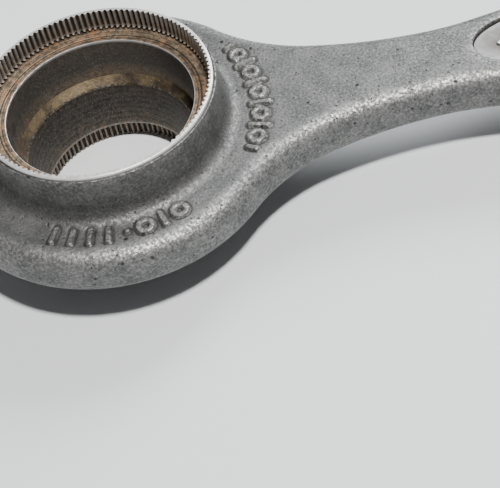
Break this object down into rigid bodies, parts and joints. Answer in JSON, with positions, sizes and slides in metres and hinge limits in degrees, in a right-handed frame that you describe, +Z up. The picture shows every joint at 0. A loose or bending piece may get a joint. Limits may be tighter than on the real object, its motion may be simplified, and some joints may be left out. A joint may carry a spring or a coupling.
{
  "type": "case back opener",
  "caption": "Double-ended wrench with round heads, each holding a fluted steel die on both faces, for unscrewing fluted watch case backs.",
  "frame": {"origin": "on the plane of the lower die rims that the tool rests on, under the middle of its overall length", "axes": "+X along the handle towards the head with the larger upper die, +Z up out of the upper dies, +Y across the handle"},
  "size_m": [0.152, 0.043, 0.018],
  "materials": {
    "cast_body": "fine grey casting, dull, slightly pitted, bare and worn bright along its edges",
    "die_steel": "turned and fluted steel, brown with old oxide, bright on its rim",
    "plate_metal": "smooth dull grey stamping"
  },
  "bodies": {
    "root": {"wrench_body": "cast_body", "upper_die_left": "die_steel", "lower_die_left": "die_steel", "upper_die_right": "die_steel", "lower_die_right": "die_steel", "name_plate_top": "plate_metal", "name_plate_underside": "plate_metal"}
  },
  "joints": []
}
